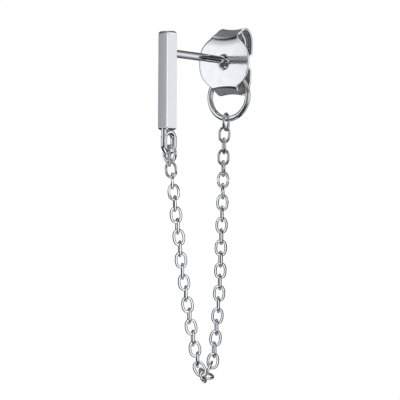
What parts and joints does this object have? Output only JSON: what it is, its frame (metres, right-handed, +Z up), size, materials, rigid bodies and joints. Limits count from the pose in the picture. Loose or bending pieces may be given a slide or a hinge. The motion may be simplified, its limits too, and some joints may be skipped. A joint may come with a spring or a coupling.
{
  "type": "tassel stud earring",
  "caption": "Drop earring of polished silver: a slim square bar on an ear post, and a fine cable chain that drapes in a U from the bar's foot to a ring in the butterfly ear nut behind the lobe.",
  "frame": {"origin": "on the post's axis in the middle of the ear lobe, 3.65 mm behind the bar's back face", "axes": "+Z up as worn, -Y to the front where the bar is, +Y behind the lobe where the nut is, X sideways across the bar's face"},
  "size_m": [0.007, 0.0121, 0.0361],
  "materials": {
    "silver": "mirror-polished white silver with faint polishing marks"
  },
  "bodies": {
    "root": {"bar_stud": "silver", "ear_nut": "silver", "nut_ring": "silver", "bar_jump_ring": "silver", "nut_jump_ring": "silver", "chain": "silver"}
  },
  "joints": []
}
